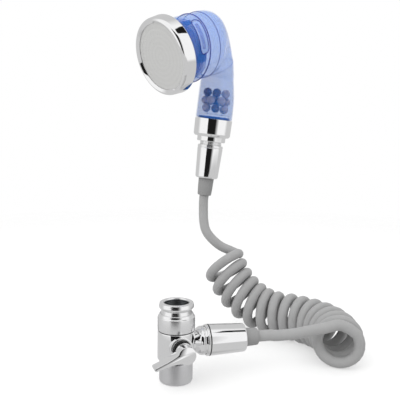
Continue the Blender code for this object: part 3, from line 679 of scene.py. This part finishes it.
def make_valve():
    """Barrel, side spigot, front boss, inlet and its dark bore of painted shade, seals, and the union nut with its
    fluted grip.
    """
    turned("valve_barrel", [
        (9.2, -13.8), (12.5, -13.8), (12.5, -21.7, 0.1), (VALVE_R, -21.7, 0.7), (VALVE_R, -43.3, 0.5),
        (12.4, -44.8, 0.4), (11.0, -44.8), (11.0, -52.0), (6.5, -52.0), (6.5, -40.6), (9.2, -40.6),
    ], VALVE, "chrome", "valve", ["valve_body"], 128)
    turned("valve_spigot", [(4.6, 31.5), (10.4, 31.5, 0.4)] + threaded(10.4, 30.8, 21.9) + [
        (9.9, 21.2, 0.1), (11.0, 21.2, 0.25), (11.0, 20.5, 0.15), (10.7, 20.25, 0.1), (10.7, 20.0, 0.1),
        (11.0, 19.75, 0.15), (11.0, 18.7, 0.5), (10.2, 17.0, 1.0), (8.7, 15.2, 1.0), (7.2, 13.2, 1.0),
        (7.2, 9.5), (4.6, 9.5),
    ], SIDE, "chrome", "valve", (), 96)
    turned("valve_boss", [
        (7.0, 15.8, 0.3), (8.6, 15.8, 0.6), (8.6, 9.6), (7.0, 9.6),
    ], STEM, "chrome", "valve", (), 80)
    turned("inlet_rim", [
        (11.8, 0.0, 0.4), (12.7, -0.35, 0.6), (13.3, -3.5, 0.9), (12.3, -4.7, 0.5), (11.2, -5.2, 0.5),
        (11.8, -8.4), (11.8, -10.3), (12.6, -10.3), (12.6, -12.0), (7.0, -12.0), (7.0, -9.0), (9.5, -9.0),
        (9.5, -0.9, 0.2), (10.0, 0.0, 0.2),
    ], VALVE, "soft_chrome", "valve", ["inlet_adaptor"], 128)
    # The inlet's bore is lined in dark steel: painted shade for the dark hollow of the mouth.
    turned("inlet_bore_painted_shade", [(9.5, -1.0, 0.1), (9.5, -8.9), (9.2, -8.9)] + mouth_thread() + [(9.2, -1.2, 0.1)],
           VALVE, "steel_mesh", "valve", (), 128)
    ring("joint_seal", 13.7, 12.9, -21.35, -21.75, VALVE, "black_rubber", "valve", (), 0.05)
    ring("dust_seal", 6.9, 5.4, 15.75, 15.1, STEM, "black_rubber", "valve", (), 0.1)
    nut = turned("union_nut", [
        (11.9, -8.2, 0.2), (12.7, -8.3, 0.3), (13.4, -10.2, 0.3), (VALVE_R, -10.9, 0.4),
        (VALVE_R, -20.8, 0.3), (13.6, -21.3, 0.2), (12.9, -21.3), (12.9, -10.0), (11.9, -10.0),
    ], VALVE, "soft_chrome", "union", ["union_collar"], 2 * GRIP_FLUTES)
    flute(nut.data)


def flute(mesh):
    """Moves every second column of the union nut's outer wall inwards."""
    for vert in mesh.vertices:
        radius, height = math.hypot(vert.co.x, vert.co.y) / MM, vert.co.z / MM
        column = round(math.atan2(vert.co.y, vert.co.x) * GRIP_FLUTES / math.pi)
        if radius > VALVE_R - 0.05 and GRIP_BOTTOM < height < GRIP_TOP and column % 2:
            vert.co -= GRIP_DEPTH * MM * Vector((vert.co.x, vert.co.y, 0.0)).normalized()


def mouth_thread(radius=9.2, depth=0.15, pitch=1.1):
    """Grooves up the inlet's bore, from its floor to its rim."""
    points = []
    for i in range(4):
        low = -6.2 + i * pitch
        points += [(radius, low, 0.05), (radius + depth, low + 0.35 * pitch, 0.1),
                   (radius, low + 0.7 * pitch, 0.05)]
    return points


def wire_mesh(name, radius, height, wires, thickness, place, finish, body, nodes):
    """Woven wire cut to a disc, in a thin rim."""
    shape = bmesh.new()
    for i in range(wires):
        offset = -radius + 2.0 * radius * (i + 0.5) / wires
        half = math.sqrt(max(radius * radius - offset * offset, 0.01))
        for turn in (0.0, math.pi / 2.0):
            lift = height + (0.35 if turn else -0.35) * thickness
            place_wire = (Matrix.Rotation(turn, 4, "Z") @ Matrix.Translation((0.0, offset * MM, lift * MM))
                          @ Matrix.Rotation(math.pi / 2.0, 4, "Y"))
            bmesh.ops.create_cone(shape, cap_ends=True, segments=6, radius1=thickness / 2.0 * MM,
                                  radius2=thickness / 2.0 * MM, depth=2.0 * half * MM, matrix=place_wire)
    mesh = bpy.data.meshes.new(name)
    shape.to_mesh(mesh)
    shape.free()
    add_piece(name, mesh, place, finish, body, nodes)
    ring(name + "_rim", radius, radius - 0.6, height + 0.3, height - 0.3, place, finish, body, (), 0.1)


def make_outlet():
    """Satin sleeve with the aerator's housing and mesh inside its mouth."""
    turned("outlet_shell", [
        (11.3, -45.1, 0.1), (12.3, -45.1, 0.2), (12.7, -45.6, 0.3), (12.7, -59.9, 0.2), (12.2, -61.1, 0.7),
        (11.0, -61.5, 0.3), (9.5, -61.5, 0.3), (9.5, -60.1), (11.3, -60.1),
    ], VALVE, "satin_metal", "valve", ["outlet_sleeve"], 112)
    turned("aerator_cup", [
        (11.0, -53.8), (11.0, -59.8), (8.0, -59.8, 0.3), (8.0, -58.0), (9.2, -58.0), (9.2, -53.8),
    ], VALVE, "white_plastic", "valve", ["aerator_housing"], 72)
    wire_mesh("aerator_mesh", 8.9, -56.6, 22, 0.22, VALVE, "steel_mesh", "valve", ["aerator_screen"])
    wire_mesh("inlet_mesh", 8.9, -6.6, 22, 0.22, VALVE, "steel_mesh", "valve", ["inlet_screen"])


def paddle_outline():
    """The lever's front outline: a round lobe with a slim tail along -X."""
    sweep, lobe, tip = 180.0 - LOBE_JOIN, [], []
    for i in range(65):
        a = math.radians(-sweep + 2.0 * sweep * i / 64)
        lobe.append((LOBE_R * math.cos(a), LOBE_R * math.sin(a)))
    tail = [(-5.77, 3.40), (-7.2, 3.0), (-9.5, 2.55), (-13.7, 1.95), (-19.0, 1.55), (TIP_X, TIP_R)]
    side = [(p.x, p.y) for p in smooth_route([(x, y, 0.0) for x, y in tail], 0.7)][1:]
    for i in range(1, 12):
        a = math.radians(90.0 + 180.0 * i / 12)
        tip.append((TIP_X + TIP_R * math.cos(a), TIP_R * math.sin(a)))
    return lobe + side + tip + [(x, -y) for x, y in side[::-1]]


def make_lever():
    """Teardrop lever on its hub, with the grub screw that holds it on the stem."""
    shape = bmesh.new()
    face = shape.faces.new([shape.verts.new((x * MM, y * MM, LEVER_BACK * MM)) for x, y in paddle_outline()])
    raised = bmesh.ops.extrude_face_region(shape, geom=[face])
    top = [v for v in raised["geom"] if isinstance(v, bmesh.types.BMVert)]
    bmesh.ops.translate(shape, verts=top, vec=(0.0, 0.0, LEVER_THICK * MM))
    bmesh.ops.recalc_face_normals(shape, faces=shape.faces)
    rim = [e for e in shape.edges if abs(e.verts[0].co.z - e.verts[1].co.z) < 1e-7]
    bmesh.ops.bevel(shape, geom=rim, offset=LEVER_EDGE * MM, segments=4, profile=0.5, affect="EDGES")
    middle = (LEVER_BACK + LEVER_THICK / 2.0) * MM
    front = [f for f in shape.faces if len(f.verts) > 20 and f.calc_center_median().z > middle]
    bmesh.ops.inset_region(shape, faces=front, thickness=LEVER_INSET * MM, depth=0.0)
    bmesh.ops.translate(shape, verts=front[0].verts[:], vec=(0.0, 0.0, LEVER_RAISED * MM))
    mesh = bpy.data.meshes.new("lever_paddle")
    shape.to_mesh(mesh)
    shape.free()
    add_piece("lever_paddle", mesh, LEVER, "chrome", "lever", ["lever"])
    turned("lever_hub", [(4.5, 21.7), (5.2, 21.7), (5.2, 15.3, 0.4), (4.5, 15.3)], LEVER, "chrome", "lever",
           (), 64)
    radial = LEVER @ Matrix.Translation((0.0, 0.0, 24.0 * MM)) @ Matrix.Rotation(math.pi / 2.0, 4, "X")
    turned("grub_screw", [
        (0.0, 6.55), (0.55, 6.55, 0.05), (0.55, 6.2, 0.05), (0.62, 6.75, 0.05), (1.2, 6.75, 0.15), (1.2, 5.0),
        (0.0, 5.0),
    ], radial, "steel_mesh", "lever", ["lever_grub_screw"], 32)


# ---------------------------------------------------------------- handset

def section_ring(centre, angle, radius, sides, half_width=None):
    """Points of a section whose plane rises at an angle from straight ahead, in millimetres."""
    tilt = math.radians(angle)
    up = Vector((0.0, -math.cos(tilt), math.sin(tilt)))
    across = Vector((half_width or radius, 0.0, 0.0))
    points = []
    for i in range(sides):
        a = 2.0 * math.pi * i / sides
        points.append(centre + math.cos(a) * across + radius * math.sin(a) * up)
    return points


def barrel_ring(depth, radius, sides):
    """A round section of the barrel, a depth behind the face."""
    tilt, along = math.radians(HEAD_TILT), FACE_DISTANCE - depth
    centre = Vector((0.0, -along * math.cos(tilt), HEAD_CROSSING - along * math.sin(tilt)))
    return section_ring(centre, 90.0 - HEAD_TILT, radius, sides)


def fan_ring(angle, table, wall, sides):
    """An oval section of the elbow, about its inner corner."""
    half = smooth_values([row[:2] for row in table], angle) / 2.0
    share = smooth_values([row[::2] for row in table], angle)
    tilt = math.radians(angle)
    centre = Vector((0.0, -ELBOW_CORNER[0] - half * math.cos(tilt), ELBOW_CORNER[1] + half * math.sin(tilt)))
    return section_ring(centre, angle, half - wall, sides, half * share - wall)


def handle_ring(height, wall, sides):
    """A round section of the handle."""
    lean = smooth_values([row[:2] for row in HANDLE], height)
    radius = smooth_values([row[::2] for row in HANDLE], height)
    return section_ring(Vector((0.0, -lean, height)), 180.0, radius - wall, sides)


def skin(name, rings, place, finish, body, nodes=(), closed=True):
    """A skin through rings of points in millimetres, which joins its ends or caps them."""
    shape = bmesh.new()
    rows = [[shape.verts.new(p * MM) for p in points] for points in rings]
    sides = len(rows[0])
    if not closed:
        shape.faces.new(rows[0])
        shape.faces.new(rows[-1])
    for low, high in zip(rows, rows[1:] + rows[:1] if closed else rows[1:]):
        for i in range(sides):
            j = (i + 1) % sides
            shape.faces.new((low[i], low[j], high[j], high[i]))
    bmesh.ops.recalc_face_normals(shape, faces=shape.faces)
    mesh = bpy.data.meshes.new(name)
    shape.to_mesh(mesh)
    shape.free()
    return add_piece(name, mesh, place, finish, body, nodes, 40.0)


def steps_between(start, end, step):
    """Even values from start to end, both included."""
    count = max(1, round(abs(end - start) / step))
    return [start + (end - start) * i / count for i in range(count + 1)]


def make_shells():
    """Head and handle shells, which meet at the seam. Each skin runs along the outside and back inside."""
    sides, elbow_start, handle_top = 112, 68.0, 61.5

    def barrel(depths, wall):
        return [barrel_ring(depth, smooth_values(BARREL, depth) - wall, sides) for depth in depths]

    def foot(heights, wall):
        return [section_ring(Vector((0.0, 0.0, h)), 180.0, FOOT_R - wall, sides) for h in heights]

    outer = [barrel_ring(LIP_FRONT, LIP_R, sides), barrel_ring(LIP_BACK, LIP_R, sides)]
    outer += barrel(steps_between(BARREL[0][0], BARREL_BACK, 1.5), 0.0)
    outer += [fan_ring(a, HEAD_FAN, 0.0, sides) for a in steps_between(elbow_start, HEAD_SEAM, 2.0)]
    inner = [fan_ring(a, HEAD_FAN, WALL, sides) for a in steps_between(HEAD_SEAM, elbow_start, 3.0)]
    inner += barrel(steps_between(BARREL_BACK, LIP_FRONT, 4.0), WALL)
    skin("head_cover", outer + inner, HANDSET, "blue_shell", "handset", ["head_shell"])

    outer = [fan_ring(a, HANDLE_FAN, 0.0, sides) for a in steps_between(HANDLE_SEAM, 180.0, 2.0)]
    outer += [handle_ring(h, 0.0, sides) for h in steps_between(handle_top, FOOT_TOP + 0.1, 1.5)]
    outer += foot((FOOT_TOP, FOOT_BOTTOM), 0.0)
    inner = foot((FOOT_BOTTOM, FOOT_TOP - 0.5), WALL)
    inner += [handle_ring(h, WALL, sides) for h in steps_between(FOOT_TOP + 1.5, handle_top, 2.5)]
    inner += [fan_ring(a, HANDLE_FAN, WALL, sides) for a in steps_between(180.0, HANDLE_SEAM, 3.0)]
    skin("handle_cover", outer + inner, HANDSET, "blue_handle", "handset", ["handle_shell"])


def on_barrel(angle, depth, lift=0.0):
    """A point on the barrel in the head's frame, by the angle round it and the depth behind the face."""
    radius, a = smooth_values(BARREL, depth) + lift, math.radians(angle)
    return Vector((radius * math.cos(a), radius * math.sin(a), -depth))


def bead(name, points, radius, place, finish, sides=8):
    """A thin line of plastic along a closed loop of points about the frame's Z axis."""
    rings = []
    for i, point in enumerate(points):
        along = (points[(i + 1) % len(points)] - points[i - 1]).normalized()
        out = Vector((point.x, point.y, 0.0)).normalized()
        side = along.cross(out)
        rings.append([point + radius * (math.cos(a) * out + math.sin(a) * side)
                      for a in [2.0 * math.pi * k / sides for k in range(sides)]])
    skin(name, rings, place, finish, "handset")


def pill(long, wide, arc=10, straight=8):
    """Points round a pill about its middle, evenly spaced on its two ends and two straights."""
    half, points = (long - wide) / 2.0, []
    for side in (1, -1):
        for i in range(arc + 1):
            a = math.radians(-90.0 * side + 180.0 * i / arc)
            points.append((side * half + wide / 2.0 * math.cos(a), wide / 2.0 * math.sin(a)))
        points += [(side * half * (1.0 - 2.0 * k / straight), side * wide / 2.0) for k in range(1, straight)]
    return points


def window_point(along, across, lift, side):
    """A point of the oblong window: millimetres round the barrel and back from the window's middle."""
    point = on_barrel(WINDOW_ANGLE + math.degrees(along / BARREL[0][1]),
                      WINDOW_DEPTH + WINDOW_SLANT * along + across, lift)
    return Vector((side * point.x, point.y, point.z))


def make_head_details():
    """Raised rings round the head, a window on each side, the cup's lugs, the seam, and a dark band at the
    handle's foot that paints the collar's reflection.
    """
    for name, depth, slant, radius in RAISED_RINGS:
        points = [on_barrel(angle, depth + slant * math.sin(math.radians(angle)), 0.1)
                  for angle in range(0, 360, 3)]
        bead(name, points, radius, HEAD, "blue_edge")
    for side, which in ((1, "right"), (-1, "left")):
        bead(which + "_window_edge", [window_point(x, y, 0.0, side) for x, y in pill(33.0, 9.5)], 0.4, HEAD,
             "blue_edge")
        for name, long, wide, lift, finish in (("_window_pad", 32.0, 8.5, -0.8, "white_plastic"),
                                               ("_window_bar", 25.0, 4.0, -0.72, "blue_inner")):
            rows = []
            for inset, drop in ((0.0, 0.15), (0.0, 0.0), (0.5, 0.0), (0.97, 0.0), (0.97, 0.15)):
                cut = inset * wide
                rows.append([window_point(x, y, lift - drop, side) for x, y in pill(long - cut, wide - cut)])
            skin(which + name, rows, HEAD, finish, "handset")
    for number, (start, end, front, back) in enumerate(CUP_LUGS, 1):
        rows = []
        for angle in steps_between(start, end, 2.0):
            a = math.radians(angle)
            rows.append([Vector((r * math.cos(a), r * math.sin(a), -d))
                         for r, d in ((26.5, front), (27.1, front), (27.1, back), (26.5, back))])
        skin("cup_lug_%d" % number, rows, HEAD, "blue_edge", "handset", (), False)
    seam = fan_ring((HEAD_SEAM + HANDLE_SEAM) / 2.0, HEAD_FAN, 0.05, 96)
    bead("elbow_seam", seam, 0.16, HANDSET, "blue_edge")
    # A dark band just above the collar: painted reflection of the chrome collar in the handle's foot.
    ring("handle_foot_painted_reflection", 14.5, 13.0, 27.0, 24.9, HANDSET, "blue_edge", "handset", (), 0.1)


def make_face():
    """Chrome ring, plate with its rings of fine holes, and the parts behind them."""
    turned("face_rim", [
        (28.7, -1.9, 0.1), (30.7, -0.2, 0.3), (31.3, 0.0, 0.5), (32.9, -0.9, 0.9), (33.6, -2.4, 0.8),
        (34.35, -11.6, 0.3), (34.1, -12.2, 0.2), (31.6, -12.2, 0.1), (31.6, -2.0, 0.1), (28.7, -2.0, 0.1),
    ], HEAD, "chrome", "handset", ["face_ring"], 192, 0.25, 6)
    make_plate()
    turned("carrier", [(0.0, -3.6), (31.2, -3.6), (31.2, -5.6), (0.0, -5.6)], HEAD, "white_plastic",
           "handset", ["plate_carrier"], 96)
    ring("seal", 31.2, 27.4, -5.9, -6.9, HEAD, "black_rubber", "handset", ["face_seal"])
    turned("inner_cup", [
        (26.7, -7.4), (26.7, -31.6, 0.8), (8.0, -33.0), (8.0, -31.4), (25.1, -30.2, 0.6), (25.1, -7.4),
    ], HEAD, "blue_inner", "handset", ["diffuser_cup"], 112)


def make_plate():
    """Spray plate with rings of fine holes through it, which are left out of a triangulated disc."""
    radius, front, thick = 31.2, -2.3, 0.9
    hole, rows, spacing = 0.2, 9, 2.75
    points, loops = [], []

    def circle(x, y, r, count):
        start = len(points)
        for i in range(count):
            a = 2.0 * math.pi * i / count
            points.append((x + r * math.cos(a), y + r * math.sin(a)))
        loops.append([(start + i, start + (i + 1) % count) for i in range(count)])
        return list(range(start, start + count))

    rims = [circle(0.0, 0.0, radius, 128)]
    for row in range(1, rows + 1):
        around = 6 * row
        distance = spacing * row
        for i in range(around):
            a = 2.0 * math.pi * i / around
            rims.append(circle(distance * math.cos(a), distance * math.sin(a), hole, 8))
    edges = [edge for loop in loops for edge in loop]
    where, _, faces, _, _, _ = delaunay_2d_cdt([Vector(p) for p in points], edges, [], 0, 1e-5)
    centres = [(sum(points[i][0] for i in rim) / len(rim), sum(points[i][1] for i in rim) / len(rim))
               for rim in rims[1:]]
    grid = {}
    for x, y in centres:
        grid.setdefault((round(x), round(y)), []).append((x, y))
    shape = bmesh.new()
    verts = [shape.verts.new((p.x * MM, p.y * MM, front * MM)) for p in where]
    for face in faces:
        x = sum(where[i].x for i in face) / len(face)
        y = sum(where[i].y for i in face) / len(face)
        cells = [(round(x) + dx, round(y) + dy) for dx in (-1, 0, 1) for dy in (-1, 0, 1)]
        near = [c for cell in cells for c in grid.get(cell, [])]
        if all((x - c[0]) ** 2 + (y - c[1]) ** 2 > (hole * 0.93) ** 2 for c in near):
            shape.faces.new([verts[i] for i in face])
    raised = bmesh.ops.extrude_face_region(shape, geom=shape.faces[:])
    lower = [v for v in raised["geom"] if isinstance(v, bmesh.types.BMVert)]
    bmesh.ops.translate(shape, verts=lower, vec=(0.0, 0.0, -thick * MM))
    loose = [v for v in shape.verts if not v.link_faces]
    bmesh.ops.delete(shape, geom=loose, context="VERTS")
    bmesh.ops.recalc_face_normals(shape, faces=shape.faces)
    mesh = bpy.data.meshes.new("plate")
    shape.to_mesh(mesh)
    shape.free()
    add_piece("plate", mesh, HEAD, "plate_steel", "handset", ["spray_plate"])


def make_balls():
    """Fine mineral balls at the CAD's places."""
    for node in sorted(name for name in SLOTS if name.startswith("mineral_ball")):
        low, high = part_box(node)
        middle, radius = (Vector(low) + Vector(high)) / 2.0, (high[2] - low[2]) / 2.0
        shape = bmesh.new()
        bmesh.ops.create_uvsphere(shape, u_segments=40, v_segments=24, radius=radius)
        mesh = bpy.data.meshes.new("fine_" + node)
        shape.to_mesh(mesh)
        shape.free()
        # Each ball wears its slot's finish; the darker mineral finish paints shade down the front middle column.
        add_piece("fine_" + node, mesh, Matrix.Translation(middle), SLOTS[node], "handset", [node])


def make_handset_base():
    """Chrome collar, step ring and threaded spigot under the handle."""
    turned("collar_shell", [
        (16.3, 24.7, 0.15), (17.6, 24.7, 0.25), (17.35, 10.4, 0.5), (16.7, 8.7, 0.8), (15.4, 8.1, 0.3),
        (14.3, 8.1, 0.1), (14.3, 12.4), (16.3, 12.4),
    ], HANDSET, "chrome", "handset", ["handle_collar"], 128)
    turned("spigot_step", [
        (6.0, 12.3), (14.0, 12.3), (14.0, 7.8, 0.1), (13.4, 7.8, 0.1), (13.4, 3.8, 0.5), (12.9, 3.4, 0.2),
        (10.0, 3.4, 0.1),
    ] + threaded(10.4, 3.2, -8.6) + [(9.9, -9.2, 0.2), (6.0, -9.2)], HANDSET, "chrome", "handset",
           ["handset_spigot"], 112)


# ---------------------------------------------------------------- the rest of the CAD

def finish_cad_nodes():
    """Gives each CAD node that still shows its slot's finish."""
    for name, obj in frame["nodes"].items():
        for holder in obj.material_slots:
            holder.material = FINISHES[CAD_FINISHES.get(name, SLOTS[name])]
        obj.data.shade_smooth()
        obj.data.set_sharp_from_angle(angle=math.radians(32.0))


make_camera()
make_world()
make_floor()
hose = make_hose()
sleeves = [make_hose_end("upper", UPPER_NUT), make_hose_end("lower", LOWER_NUT)]
make_valve()
make_outlet()
make_lever()
make_shells()
make_head_details()
make_face()
make_balls()
make_handset_base()
finish_cad_nodes()
add_light("key", (-0.9, -0.8, 1.1), (0.05, 0.06, 0.05), 1.0, 10.0)
bpy.context.scene.view_settings.view_transform = "Standard"

bpy.context.view_layer.update()
